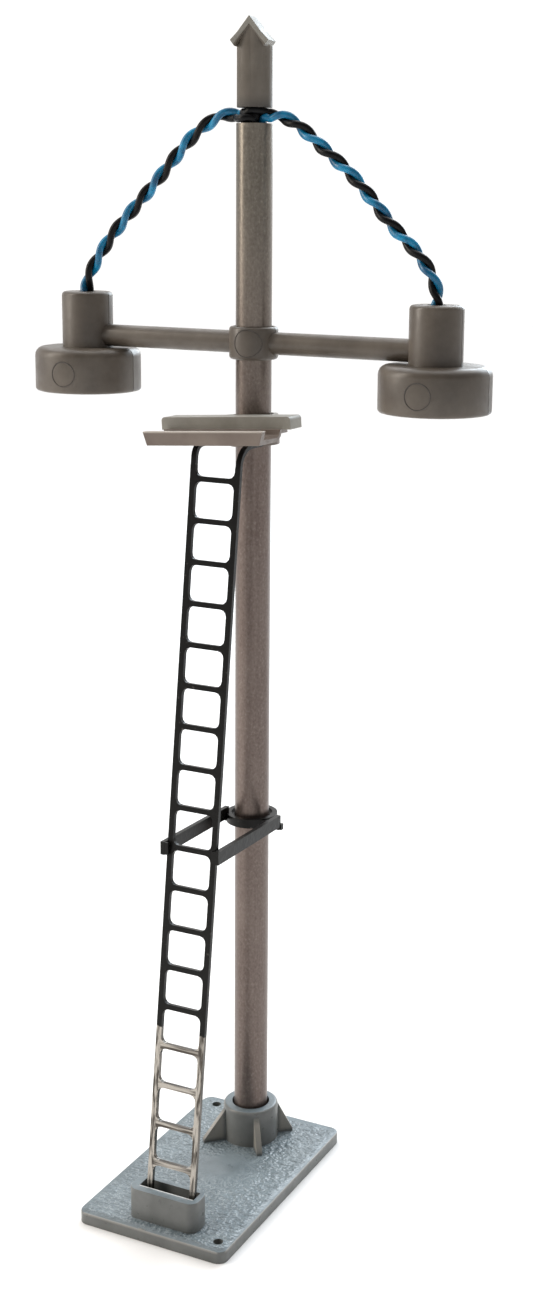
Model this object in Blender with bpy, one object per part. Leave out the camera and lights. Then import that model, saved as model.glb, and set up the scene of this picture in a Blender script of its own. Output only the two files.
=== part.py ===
"""Twin yard lamp on a mast, for a model railway, with its ladder, platform and base.

Frame: +Z up, the plate's underside at z = 0 and its middle at the origin. The lamps
stand left and right along X, the ladder is on the -Y side of the mast.
"""

import math

import bmesh
import bpy
from mathutils import Matrix, Vector

# Driving dimensions, in millimetres.
PLATE_WIDTH = 18.8
PLATE_DEPTH = 29.7
PLATE_THICKNESS = 1.4
PLATE_CORNER = 1.2
PLATE_EDGE = 0.15
HOLE_RADIUS = 0.55
HOLES = ((7.75, -12.9), (-7.2, 13.25))

MAST_Y = 8.95
TUBE_OUTER = 2.0
TUBE_INNER = 1.55
TUBE_TOP = 121.1
TUBE_BOTTOM = 1.1
BORE_RADIUS = 2.25
OUTLET_RADIUS = 1.6
LEDGE_Z = 0.8

COLLAR_RADIUS = 3.3
COLLAR_TOP = 5.9
COLLAR_ROUND = 0.4
GUSSETS = ((-134, 6.0), (-50, 5.35), (38, 5.15), (135, 5.6))
GUSSET_TOP = 5.3
GUSSET_THICKNESS = 0.65

LADDER_X = 0.93
LADDER_LEAN = math.radians(7.3)
LADDER_FOOT_Y = -11.71
LADDER_FOOT_Z = 2.3
LADDER_HEIGHT = 83.5
STILE_SPACING = 5.46
STILE_WIDTH = 0.65
RUNG_WIDTH = 0.58
RUNG_PITCH = 4.505
RUNGS = 18
TOP_RUNG = 82.05
WINDOW_FILLET = 0.7
LADDER_THICKNESS = 0.5
TAIL_BENDS = {-1: 1.3, 1: 2.4}
TAIL_LENGTH = 2.6

SOCKET_SIDES = (-3.79, 4.88)
SOCKET_FRONT = -13.15
SOCKET_BACK = -9.95
SOCKET_TOP = 5.03
SOCKET_CORNER = 1.1
SLOT_SIDES = (-2.75, 4.2)
SLOT_FRONT = -12.15
SLOT_BACK = -10.6
SLOT_FLOOR = 1.3

HEAD_Z = 97.65
LAMP_REACH = 21.8
ARM_RADIUS = 1.24
HUB_RADIUS = 2.72
HUB_HEIGHT = 3.6
HEAD_BORE = 2.2
SEAM = 0.1

LAMP_RADIUS = 6.1
LAMP_BOTTOM = 91.22
LAMP_SHOULDER = 96.25
SHOULDER_ROUND = 1.0
RIM_ROUND = 0.35
NECK_RADIUS = 2.92
NECK_TOP = 102.55
NECK_ROUND = 0.45
BOWL_RADIUS = 5.2
BOWL_CEILING = 95.5
THROAT_RADIUS = 1.75
CHAMBER = (2.2, 97.7, 101.0)
NECK_BORE = 1.05

FINIAL_RADIUS = 1.93
FINIAL_BOTTOM = 122.75
ROOF_TURN = math.radians(10)
ROOF_LINE = ((0.0, 132.1), (1.35, 130.4), (2.15, 129.6), (1.65, 128.95), (1.15, 129.7), (0.0, 131.2))
ROOF_SPAN = (-2.05, 0.7)
GABLE_PEAK = 131.65
GABLE_PITCH = 1.16
TONGUE_LOW = (-0.9, 0.2, 116.8)
TONGUE_HIGH = (0.9, 1.2, 123.5)

PLATFORM_ROLL = math.radians(-3.84)
RING_RADIUS = 2.8
RING_BORE = 2.35
TRAY_BOTTOM = 87.67
TRAY_TOP = 89.17
TRAY_HALF = 6.8
TRAY_FLARE = 0.45
TRAY_FRONT = -13.3
TRAY_BACK = -8.6
TRAY_WALL = 0.5
FASCIA = 0.8
TRAY_RING = (86.3, 88.35)
DECK_X = 1.0
DECK_BOTTOM = 88.85
DECK_TOP = 90.2
DECK_WEB_TOP = 89.7
DECK_HALF = 7.9
DECK_FRONT = -8.3
DECK_BACK = -5.7
DECK_ROUND = 0.35

BRACKET_RING = (2.4, 3.0)
BRACKET_RING_Z = (41.9, 42.95)
BRACKET_ARM_REAR = (-1.5, 42.3, 43.7)
BRACKET_ARM_FRONT = (-16.15, 42.6, 44.1)
BRACKET_ARM = 0.5
BRACKET_LIP = 0.3
BRACKET_GAP = 0.1

WIRE_RADIUS = 0.3
WIRE_OFFSET = 0.42
WIRE_STEPS = 52
WIRE_END_Z = 0.35

LED_RADIUS = 1.5
LED_FLANGE = 1.9
LED_TIP = 95.45
LED_SEAT = 98.0
PIN_SPACING = 0.9
PIN_TOP = 99.9

TURN_STEPS = 40
SMALL_STEPS = 20
ARC_STEPS = 5


def point(x, y, z):
    """A place in metres from millimetres."""
    return Vector((x, y, z)) * 0.001


def material(name, color, roughness, metallic=0.0):
    made = bpy.data.materials.new(name)
    made.use_nodes = True
    shader = made.node_tree.nodes["Principled BSDF"]
    shader.inputs["Base Color"].default_value = (*color, 1.0)
    shader.inputs["Roughness"].default_value = roughness
    shader.inputs["Metallic"].default_value = metallic
    return made


def add_object(name, bm, finish=None, smooth=30):
    """An object from a bmesh, with its normals out and its round faces smooth."""
    bmesh.ops.remove_doubles(bm, verts=bm.verts, dist=1e-7)
    bmesh.ops.recalc_face_normals(bm, faces=bm.faces)
    mesh = bpy.data.meshes.new(name)
    bm.to_mesh(mesh)
    bm.free()
    mesh.shade_smooth()
    mesh.set_sharp_from_angle(angle=math.radians(smooth))
    made = bpy.data.objects.new(name, mesh)
    bpy.context.scene.collection.objects.link(made)
    if finish:
        mesh.materials.append(finish)
    return made


def combine(target, operation, tools):
    """Joins or cuts hidden tool shapes with one exact Boolean, kept in flat triangles."""
    group = bpy.data.collections.new(f"{target.name}_{operation.lower()}")
    for tool in tools:
        tool.hide_render = True
        tool.display_type = "WIRE"
        group.objects.link(tool)
    modifier = target.modifiers.new(group.name, "BOOLEAN")
    modifier.operation = operation
    modifier.solver = "EXACT"
    modifier.operand_type = "COLLECTION"
    modifier.collection = group
    target.modifiers.new(f"{group.name}_triangles", "TRIANGULATE")
    return target


def box(low, high):
    bm = bmesh.new()
    bmesh.ops.create_cube(bm, size=1.0)
    low, high = point(*low), point(*high)
    size = Matrix.Diagonal((*(high - low), 1.0))
    bm.transform(Matrix.Translation((low + high) / 2) @ size)
    return bm


def prism(outline, direction):
    """A flat closed outline, in millimetres, swept along a direction."""
    bm = bmesh.new()
    face = bm.faces.new([bm.verts.new(point(*corner)) for corner in outline])
    swept = bmesh.ops.extrude_face_region(bm, geom=[face])
    moved = [part for part in swept["geom"] if isinstance(part, bmesh.types.BMVert)]
    bmesh.ops.translate(bm, verts=moved, vec=point(*direction))
    return bm


def about_mast(turn):
    """Places a shape made round the z axis on the mast's middle line, turned about it."""
    return Matrix.Translation(point(0.0, MAST_Y, 0.0)) @ Matrix.Rotation(turn, 4, "Z")


def turned(profile, centre=(0.0, MAST_Y), steps=TURN_STEPS):
    """A closed profile of (radius, z) points turned about an upright axis."""
    bm = bmesh.new()
    turns = [2 * math.pi * i / steps for i in range(steps)]
    rings = []
    for radius, z in profile:
        if radius < 1e-6:
            rings.append([bm.verts.new(point(*centre, z))] * steps)
            continue
        around = [(centre[0] + radius * math.cos(t), centre[1] + radius * math.sin(t)) for t in turns]
        rings.append([bm.verts.new(point(x, y, z)) for x, y in around])
    for lower, upper in zip(rings, rings[1:] + rings[:1]):
        for i in range(steps):
            corners = dict.fromkeys((lower[i - 1], lower[i], upper[i], upper[i - 1]))
            if len(corners) > 2:
                bm.faces.new(corners)
    return bm


def cylinder(radius, low, high, centre=(0.0, MAST_Y), steps=TURN_STEPS):
    return turned([(0.0, low), (radius, low), (radius, high), (0.0, high)], centre, steps)


def arc(centre, radius, start, end, steps=ARC_STEPS):
    """Points on a circle from one angle to another, in degrees."""
    angles = [math.radians(start + (end - start) * i / steps) for i in range(steps + 1)]
    return [(centre[0] + radius * math.cos(a), centre[1] + radius * math.sin(a)) for a in angles]


def rounded_rectangle(low, high, radius):
    """Counter-clockwise outline points of a rectangle with round corners."""
    corners = (
        ((high[0] - radius, low[1] + radius), -90),
        ((high[0] - radius, high[1] - radius), 0),
        ((low[0] + radius, high[1] - radius), 90),
        ((low[0] + radius, low[1] + radius), 180),
    )
    return [place for centre, start in corners for place in arc(centre, radius, start, start + 90)]


def slab(low, high, corner, bottom, top, edge):
    """A block with round upright corners and a rounded upper edge."""
    steps = [(0.0, bottom), (0.0, top - edge)]
    for turn in (math.pi / 4, math.pi / 2):
        steps.append((edge * (1 - math.cos(turn)), top - edge + edge * math.sin(turn)))
    bm = bmesh.new()
    rings = []
    for inset, z in steps:
        near = (low[0] + inset, low[1] + inset)
        far = (high[0] - inset, high[1] - inset)
        outline = rounded_rectangle(near, far, corner - inset)
        rings.append([bm.verts.new(point(x, y, z)) for x, y in outline])
    for lower, upper in zip(rings, rings[1:]):
        for i in range(len(lower)):
            bm.faces.new((lower[i - 1], lower[i], upper[i], upper[i - 1]))
    bm.faces.new(rings[0])
    bm.faces.new(rings[-1])
    return bm


def make_base(finish):
    """One moulding: plate, ribbed mast collar, ladder socket and two screw holes."""
    half = (PLATE_WIDTH / 2, PLATE_DEPTH / 2)
    plate = slab((-half[0], -half[1]), half, PLATE_CORNER, 0.0, PLATE_THICKNESS, PLATE_EDGE)
    base = add_object("base_moulding", plate, finish)

    buried = PLATE_THICKNESS - 0.6
    round_top = arc((COLLAR_RADIUS - COLLAR_ROUND, COLLAR_TOP - COLLAR_ROUND), COLLAR_ROUND, 0, 90, 4)
    profile = [(0.0, buried), (COLLAR_RADIUS, buried), *round_top, (0.0, COLLAR_TOP)]
    added = [add_object("collar_form", turned(profile))]
    for turn, foot in GUSSETS:
        rib = prism(
            [
                (COLLAR_RADIUS - 0.6, -GUSSET_THICKNESS / 2, buried),
                (foot, -GUSSET_THICKNESS / 2, buried),
                (foot, -GUSSET_THICKNESS / 2, PLATE_THICKNESS + 0.35),
                (COLLAR_RADIUS, -GUSSET_THICKNESS / 2, GUSSET_TOP),
                (COLLAR_RADIUS - 0.6, -GUSSET_THICKNESS / 2, GUSSET_TOP),
            ],
            (0.0, GUSSET_THICKNESS, 0.0),
        )
        rib.transform(about_mast(math.radians(turn)))
        added.append(add_object(f"gusset_form_{turn}", rib))

    block_low, block_high = zip(SOCKET_SIDES, (SOCKET_FRONT, SOCKET_BACK))
    block = slab(block_low, block_high, SOCKET_CORNER, buried, SOCKET_TOP, 0.2)
    added.append(add_object("socket_form", block))
    combine(base, "UNION", added)

    below = -1.0
    bore = [
        (0.0, below),
        (OUTLET_RADIUS, below),
        (OUTLET_RADIUS, LEDGE_Z),
        (BORE_RADIUS, LEDGE_Z),
        (BORE_RADIUS, COLLAR_TOP + 1.0),
        (0.0, COLLAR_TOP + 1.0),
    ]
    cutters = [add_object("bore_form", turned(bore))]
    slot_low = (SLOT_SIDES[0], SLOT_FRONT, SLOT_FLOOR)
    slot_high = (SLOT_SIDES[1], SLOT_BACK, SOCKET_TOP + 1.0)
    cutters.append(add_object("slot_form", box(slot_low, slot_high)))
    for i, centre in enumerate(HOLES):
        hole = cylinder(HOLE_RADIUS, below, PLATE_THICKNESS + 1.0, centre, SMALL_STEPS)
        cutters.append(add_object(f"hole_form_{i}", hole))
    combine(base, "DIFFERENCE", cutters)


def make_mast(finish):
    profile = [
        (TUBE_INNER, TUBE_BOTTOM),
        (TUBE_OUTER, TUBE_BOTTOM),
        (TUBE_OUTER, TUBE_TOP),
        (TUBE_INNER, TUBE_TOP),
    ]
    add_object("mast_tube", turned(profile), finish)


def along_ridge(outline, start, end):
    """A shape swept along the roof's ridge, from (sideways, z) points, and turned about the mast."""
    bm = prism([(x, start, z) for x, z in outline], (0.0, end - start, 0.0))
    bm.transform(about_mast(ROOF_TURN))
    return bm


def make_finial(finish):
    """Round cap under a gabled roof plate, with a tongue that plugs into the tube."""
    cap = add_object("finial_cap", cylinder(FINIAL_RADIUS, FINIAL_BOTTOM, ROOF_LINE[0][1]), finish)
    wide = FINIAL_RADIUS + 1.0
    eave = GABLE_PEAK - GABLE_PITCH * wide
    floor = FINIAL_BOTTOM - 1.0
    gable = [(-wide, floor), (wide, floor), (wide, eave), (0.0, GABLE_PEAK), (-wide, eave)]
    combine(cap, "INTERSECT", [add_object("gable_form", along_ridge(gable, -wide, wide))])
    line = list(ROOF_LINE) + [(-x, z) for x, z in ROOF_LINE[-2:0:-1]]
    roof = add_object("roof_form", along_ridge(line, *ROOF_SPAN))
    low, high = ((x, MAST_Y + y, z) for x, y, z in (TONGUE_LOW, TONGUE_HIGH))
    combine(cap, "UNION", [roof, add_object("tongue_form", box(low, high))])


def lamp_profile():
    """Outer (radius, z) line of one lamp housing with its neck."""
    side = LAMP_RADIUS - RIM_ROUND
    line = [(0.0, LAMP_BOTTOM)]
    line += arc((side, LAMP_BOTTOM + RIM_ROUND), RIM_ROUND, -90, 0, 3)
    shoulder = (LAMP_RADIUS - SHOULDER_ROUND, LAMP_SHOULDER - SHOULDER_ROUND)
    line += arc(shoulder, SHOULDER_ROUND, 0, 90)
    line += [(NECK_RADIUS, LAMP_SHOULDER)]
    line += arc((NECK_RADIUS - NECK_ROUND, NECK_TOP - NECK_ROUND), NECK_ROUND, 0, 90, 3)
    return line + [(0.0, NECK_TOP)]


def lamp_cavity():
    """Open bowl, throat, chamber for the diode and bore for the leads."""
    return [
        (0.0, LAMP_BOTTOM - 1.0),
        (BOWL_RADIUS, LAMP_BOTTOM - 1.0),
        (BOWL_RADIUS, BOWL_CEILING),
        (THROAT_RADIUS, BOWL_CEILING),
        (THROAT_RADIUS, CHAMBER[1]),
        (CHAMBER[0], CHAMBER[1]),
        (CHAMBER[0], CHAMBER[2]),
        (NECK_BORE, CHAMBER[2]),
        (NECK_BORE, NECK_TOP + 1.0),
        (0.0, NECK_TOP + 1.0),
    ]


def head_forms(suffix):
    """The whole lamp head's outer forms and hollows, before it is split in halves."""
    hub_low, hub_high = HEAD_Z - HUB_HEIGHT / 2, HEAD_Z + HUB_HEIGHT / 2
    round_low = arc((HUB_RADIUS - 0.35, hub_low + 0.35), 0.35, -90, 0, 3)
    round_high = arc((HUB_RADIUS - 0.35, hub_high - 0.35), 0.35, 0, 90, 3)
    hub = turned([(0.0, hub_low), *round_low, *round_high, (0.0, hub_high)])
    forms = [add_object(f"hub_form_{suffix}", hub)]
    arm = cylinder(ARM_RADIUS, -LAMP_REACH, LAMP_REACH, (0.0, 0.0), 28)
    arm.transform(Matrix.Translation(point(0.0, MAST_Y, HEAD_Z)) @ Matrix.Rotation(math.pi / 2, 4, "Y"))
    forms.append(add_object(f"arm_form_{suffix}", arm))
    hollows = [add_object(f"head_bore_{suffix}", cylinder(HEAD_BORE, hub_low - 1.0, hub_high + 1.0))]
    for side in (-1, 1):
        centre = (side * LAMP_REACH, MAST_Y)
        forms.append(add_object(f"lamp_form_{suffix}_{side}", turned(lamp_profile(), centre)))
        hollows.append(add_object(f"lamp_hollow_{suffix}_{side}", turned(lamp_cavity(), centre, 32)))
    return forms, hollows


def make_head(finish):
    """Two clamshell halves, front and rear, that close round the mast."""
    reach = LAMP_REACH + LAMP_RADIUS + 1.0
    spans = {
        "lamp_arm_front": (-LAMP_RADIUS - 1.0, -SEAM / 2),
        "lamp_arm_rear": (SEAM / 2, LAMP_RADIUS + 1.0),
    }
    for name, (near, far) in spans.items():
        low = (-reach, MAST_Y + near, LAMP_BOTTOM - 2.0)
        high = (reach, MAST_Y + far, NECK_TOP + 2.0)
        half_space = add_object(f"half_space_{name}", box(low, high))
        forms, hollows = head_forms(name)
        whole = combine(forms[0], "UNION", forms[1:])
        whole.name = name
        whole.data.materials.append(finish)
        combine(whole, "DIFFERENCE", hollows)
        combine(whole, "INTERSECT", [half_space])


def make_leds(finish):
    """A round diode in each lamp: domed body, flange and two pins."""
    for side, word in ((-1, "left"), (1, "right")):
        centre = (side * LAMP_REACH, MAST_Y)
        dome = arc((0.0, LED_TIP + LED_RADIUS), LED_RADIUS, -90, 0, 6)
        profile = [*dome, (LED_RADIUS, LED_SEAT), (LED_FLANGE, LED_SEAT), (LED_FLANGE, LED_SEAT + 1.0)]
        led = turned([*profile, (0.0, LED_SEAT + 1.0)], centre, 24)
        body = add_object(f"led_{word}", led, finish)
        pins = []
        for pin in (-1, 1):
            y = MAST_Y + pin * PIN_SPACING
            low = (centre[0] - 0.22, y - 0.22, LED_SEAT + 0.6)
            high = (centre[0] + 0.22, y + 0.22, PIN_TOP)
            pins.append(add_object(f"pin_form_{word}_{pin}", box(low, high)))
        combine(body, "UNION", pins)


def roll_platform(made):
    """The platform pieces lean about the mast, right end up."""
    pivot = point(0.0, MAST_Y, TRAY_TOP)
    lean = Matrix.Rotation(PLATFORM_ROLL, 4, "Y")
    made.matrix_world = Matrix.Translation(pivot) @ lean @ Matrix.Translation(-pivot)


def make_tray(finish):
    """Lower platform piece: an open trough with a flared fascia, on a clamp ring."""
    corner = (TRAY_BACK - 0.8, TRAY_BOTTOM + 0.8)
    inner = (TRAY_BACK - 0.8, TRAY_BOTTOM + 0.8)
    line = [(TRAY_FRONT, TRAY_BOTTOM)]
    line += arc(corner, 0.8, -90, 0)
    line += [(TRAY_BACK, TRAY_TOP - 0.2), (TRAY_BACK - TRAY_WALL, TRAY_TOP - 0.2)]
    line += arc(inner, 0.8 - TRAY_WALL, 0, -90)
    line += [(TRAY_FRONT + FASCIA, TRAY_BOTTOM + TRAY_WALL), (TRAY_FRONT + FASCIA, TRAY_TOP)]
    line += [(TRAY_FRONT, TRAY_TOP)]
    trough = prism([(-TRAY_HALF, MAST_Y + y, z) for y, z in line], (2 * TRAY_HALF, 0.0, 0.0))
    for vert in trough.verts:
        rise = (vert.co.z * 1000 - TRAY_BOTTOM) / (TRAY_TOP - TRAY_BOTTOM)
        vert.co.x += math.copysign(TRAY_FLARE * rise, vert.co.x) * 0.001
        vert.co.x += LADDER_X * 0.001
    tray = add_object("platform_tray", trough, finish)
    tongue_low = (LADDER_X - 3.3, MAST_Y + TRAY_BACK - 0.4, TRAY_BOTTOM + 0.02)
    tongue_high = (LADDER_X + 3.3, MAST_Y, TRAY_BOTTOM + TRAY_WALL - 0.02)
    tongue = add_object("tongue_plate_form", box(tongue_low, tongue_high))
    ring = add_object("tray_ring_form", cylinder(RING_RADIUS, *TRAY_RING))
    combine(tray, "UNION", [tongue, ring])
    bore = cylinder(RING_BORE, TRAY_RING[0] - 1.0, TRAY_RING[1] + 1.0)
    combine(tray, "DIFFERENCE", [add_object("tray_bore_form", bore)])
    for form in (tray, tongue, ring, bpy.data.objects["tray_bore_form"]):
        roll_platform(form)


def make_deck(finish):
    """Upper platform piece: a rail with rounded ends and a web back to its clamp ring."""
    left, right = DECK_X - DECK_HALF, DECK_X + DECK_HALF
    line = [(left, DECK_BOTTOM), (right, DECK_BOTTOM)]
    line += arc((right - DECK_ROUND, DECK_TOP - DECK_ROUND), DECK_ROUND, 0, 90, 4)
    line += arc((left + DECK_ROUND, DECK_TOP - DECK_ROUND), DECK_ROUND, 90, 180, 4)
    rail = prism([(x, MAST_Y + DECK_FRONT, z) for x, z in line], (0.0, DECK_BACK - DECK_FRONT, 0.0))
    deck = add_object("platform_deck", rail, finish)
    web_line = [
        (left + 0.7, DECK_BACK - 0.4),
        (right - 0.7, DECK_BACK - 0.4),
        (right - 0.7, DECK_BACK + 0.2),
        (2.2, 0.9),
        (-2.2, 0.9),
        (left + 0.7, DECK_BACK + 0.2),
    ]
    web_low = DECK_BOTTOM + 0.05
    web = prism([(x, MAST_Y + y, web_low) for x, y in web_line], (0.0, 0.0, DECK_WEB_TOP - web_low))
    web = add_object("deck_web_form", web)
    ring = add_object("deck_ring_form", cylinder(RING_RADIUS, DECK_BOTTOM, DECK_WEB_TOP - 0.05))
    combine(deck, "UNION", [web, ring])
    bore = add_object("deck_bore_form", cylinder(RING_BORE, DECK_BOTTOM - 1.0, DECK_TOP + 1.0))
    combine(deck, "DIFFERENCE", [bore])
    for form in (deck, web, ring, bore):
        roll_platform(form)


def ladder_outline():
    """Outer line of the flat ladder blank, with open ends above and below the rungs."""
    outer = STILE_SPACING / 2 + STILE_WIDTH / 2
    inner = STILE_SPACING / 2 - STILE_WIDTH / 2
    r = WINDOW_FILLET
    top = TOP_RUNG + RUNG_WIDTH / 2
    bottom = TOP_RUNG - (RUNGS - 1) * RUNG_PITCH - RUNG_WIDTH / 2
    line = [(-outer, 0.0), (-inner, 0.0)]
    line += arc((-inner + r, bottom - r), r, 180, 90, 3)
    line += arc((inner - r, bottom - r), r, 90, 0, 3)
    line += [(inner, 0.0), (outer, 0.0), (outer, LADDER_HEIGHT), (inner, LADDER_HEIGHT)]
    line += arc((inner - r, top + r), r, 0, -90, 3)
    line += arc((-inner + r, top + r), r, -90, -180, 3)
    return line + [(-inner, LADDER_HEIGHT), (-outer, LADDER_HEIGHT)]


def ladder_place():
    """The leaning plane of the ladder: foot in the socket, top towards the mast."""
    foot = Matrix.Translation(point(LADDER_X, LADDER_FOOT_Y, LADDER_FOOT_Z))
    return foot @ Matrix.Rotation(-LADDER_LEAN, 4, "X")


def stile_tail(side):
    """One stile's top, bent back level under the platform; a tighter bend starts higher."""
    x = side * STILE_SPACING / 2
    bend = TAIL_BENDS[side]
    start = LADDER_HEIGHT + 0.88 * (max(TAIL_BENDS.values()) - bend)
    path = [(0.0, LADDER_HEIGHT - 0.5)]
    for i in range(ARC_STEPS + 1):
        a = math.pi - (math.pi / 2 - LADDER_LEAN) * i / ARC_STEPS
        path.append((bend + bend * math.cos(a), start + bend * math.sin(a)))
    end = Vector(path[-1]) + TAIL_LENGTH * Vector((math.cos(LADDER_LEAN), math.sin(LADDER_LEAN)))
    path.append(tuple(end))
    half = LADDER_THICKNESS / 2
    bm = bmesh.new()
    rings = []
    for i, place in enumerate(path):
        ahead = Vector(path[min(i + 1, len(path) - 1)]) - Vector(path[max(i - 1, 0)])
        ahead.normalize()
        across = Vector((ahead.y, -ahead.x)) * half
        ring = []
        for wide, deep in ((-1, -1), (1, -1), (1, 1), (-1, 1)):
            y = place[0] + deep * across.x
            z = place[1] + deep * across.y
            ring.append(bm.verts.new(point(x + wide * (STILE_WIDTH / 2 - 0.02), y, z)))
        rings.append(ring)
    for lower, upper in zip(rings, rings[1:]):
        for k in range(4):
            bm.faces.new((lower[k - 1], lower[k], upper[k], upper[k - 1]))
    bm.faces.new(rings[0])
    bm.faces.new(rings[-1])
    bm.transform(ladder_place())
    return bm


def make_ladder(finish):
    """A flat blank with windows between the rungs, leaned against the platform."""
    bm = bmesh.new()
    inner = STILE_SPACING / 2 - STILE_WIDTH / 2
    loops = [ladder_outline()]
    for k in range(RUNGS - 1):
        high = TOP_RUNG - k * RUNG_PITCH - RUNG_WIDTH / 2
        low = TOP_RUNG - (k + 1) * RUNG_PITCH + RUNG_WIDTH / 2
        corners = (
            ((inner - WINDOW_FILLET, low + WINDOW_FILLET), -90),
            ((inner - WINDOW_FILLET, high - WINDOW_FILLET), 0),
            ((-inner + WINDOW_FILLET, high - WINDOW_FILLET), 90),
            ((-inner + WINDOW_FILLET, low + WINDOW_FILLET), 180),
        )
        loops.append([p for c, start in corners for p in arc(c, WINDOW_FILLET, start, start + 90, 3)])
    edges = []
    for loop in loops:
        ring = [bm.verts.new(point(x, -LADDER_THICKNESS / 2, z)) for x, z in loop]
        edges += [bm.edges.new((ring[i - 1], ring[i])) for i in range(len(ring))]
    bmesh.ops.triangle_fill(bm, edges=edges, use_beauty=True, use_dissolve=False)
    swept = bmesh.ops.extrude_face_region(bm, geom=list(bm.faces))
    moved = [part for part in swept["geom"] if isinstance(part, bmesh.types.BMVert)]
    bmesh.ops.translate(bm, verts=moved, vec=point(0.0, LADDER_THICKNESS, 0.0))
    bm.transform(ladder_place())
    ladder = add_object("ladder", bm, finish)
    tails = [add_object(f"tail_form_{s}", stile_tail(s)) for s in (-1, 1)]
    combine(ladder, "UNION", tails)


def bracket_arm(near, far):
    """A flat arm, rising a little towards the ladder, between two sideways places."""
    rear, rear_low, rear_high = BRACKET_ARM_REAR
    front, front_low, front_high = BRACKET_ARM_FRONT
    corners = ((rear, rear_low), (front, front_low), (front, front_high), (rear, rear_high))
    return prism([(near, MAST_Y + y, z) for y, z in corners], (far - near, 0.0, 0.0))


def make_bracket(finish):
    """Stay between mast and ladder: a ring with ears and two arms that hook the stiles."""
    inner, outer = BRACKET_RING
    low, high = BRACKET_RING_Z
    ring = turned([(inner, low), (outer, low), (outer, high), (inner, high)])
    bracket = add_object("ladder_bracket", ring, finish)
    added = []
    rear, rear_low, _ = BRACKET_ARM_REAR
    front, lip_low, lip_high = BRACKET_ARM_FRONT
    for side in (-1, 1):
        near = LADDER_X + side * (STILE_SPACING / 2 + STILE_WIDTH / 2 + BRACKET_GAP)
        far = near + side * BRACKET_ARM
        added.append(add_object(f"bracket_arm_{side}", bracket_arm(near, far)))
        pieces = {
            "lip": (
                (far - side * 0.02, near - side * 0.45),
                (front + 0.02, front + BRACKET_LIP),
                (lip_low + 0.05, lip_high - 0.05),
            ),
            "ear": ((side * 2.0, far - side * 0.05), (-1.9, rear + 0.02), (low + 0.1, high - 0.1)),
            "peg": (
                (far - side * 0.3, far + side * 0.1),
                (rear - 0.05, rear + 0.5),
                (rear_low - 0.4, rear_low + 0.3),
            ),
        }
        for word, (across, deep, tall) in pieces.items():
            form = box((min(across), MAST_Y + deep[0], tall[0]), (max(across), MAST_Y + deep[1], tall[1]))
            added.append(add_object(f"bracket_{word}_{side}", form))
    combine(bracket, "UNION", added)
    clear = cylinder(inner, low - 1.0, high + 1.0)
    combine(bracket, "DIFFERENCE", [add_object("bracket_clear_form", clear)])


# Each pair's middle line, as (x, z), from the lamp's neck to the mast's top.
LEAD_ROUTES = {
    -1: [
        (-21.8, 102.5),
        (-21.8, 103.4),
        (-21.3, 104.7),
        (-20.0, 106.7),
        (-18.3, 108.9),
        (-16.4, 110.9),
        (-14.7, 112.6),
        (-12.9, 114.4),
        (-11.1, 116.3),
        (-9.1, 118.4),
        (-7.0, 120.3),
        (-4.2, 121.9),
        (-2.1, 121.95),
    ],
    1: [
        (21.8, 102.5),
        (21.8, 103.5),
        (21.1, 105.6),
        (19.4, 107.8),
        (17.4, 109.7),
        (15.9, 111.2),
        (14.4, 112.9),
        (13.0, 114.4),
        (11.3, 116.1),
        (9.3, 117.7),
        (7.3, 119.3),
        (5.4, 120.8),
        (3.6, 121.7),
        (2.1, 121.9),
    ],
}

# Turns in each twist, with the share of a turn that it starts at.
LEAD_TURNS = {-1: (5.31, 0.087), 1: (5.85, -0.198)}

# Each wire's bends over the rim of the tube, as (x, y, z) from the mast's middle line.
MAST_BENDS = {
    "wire_left_blue": [(-1.5, 0.0, 122.15), (-1.15, -0.2, 121.6), (-1.1, -0.2, 120.8)],
    "wire_left_black": [
        (-1.4, -1.2, 121.55),
        (-0.5, -1.8, 121.6),
        (0.4, -1.5, 121.6),
        (0.55, -0.95, 121.0),
    ],
    "wire_right_blue": [(1.5, -0.45, 121.72), (1.15, -0.3, 121.3), (1.1, -0.2, 120.7)],
    "wire_right_black": [
        (1.6, 0.0, 122.25),
        (0.9, -0.9, 122.4),
        (0.2, -1.3, 122.4),
        (-0.4, -1.15, 122.0),
        (-0.6, -0.95, 121.2),
    ],
}


def smooth_route(places, per_span):
    """Catmull-Rom points through the given places."""
    padded = [places[0]] + list(places) + [places[-1]]
    vectors = [Vector(place) for place in padded]
    out = []
    for a, b, c, d in zip(vectors, vectors[1:], vectors[2:], vectors[3:]):
        for i in range(per_span):
            t = i / per_span
            out.append(
                0.5 * (2 * b + (c - a) * t + (2 * a - 5 * b + 4 * c - d) * t * t
                       + (3 * b - a - 3 * c + d) * t * t * t)
            )
    return out + [vectors[-1]]


def at_length(line, share):
    """The place and direction at a share of a polyline's length."""
    lengths = [(b - a).length for a, b in zip(line, line[1:])]
    target = share * sum(lengths)
    for start, end, length in zip(line, line[1:], lengths):
        if target <= length:
            return start.lerp(end, target / length), (end - start).normalized()
        target -= length
    return line[-1], (line[-1] - line[-2]).normalized()


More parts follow.
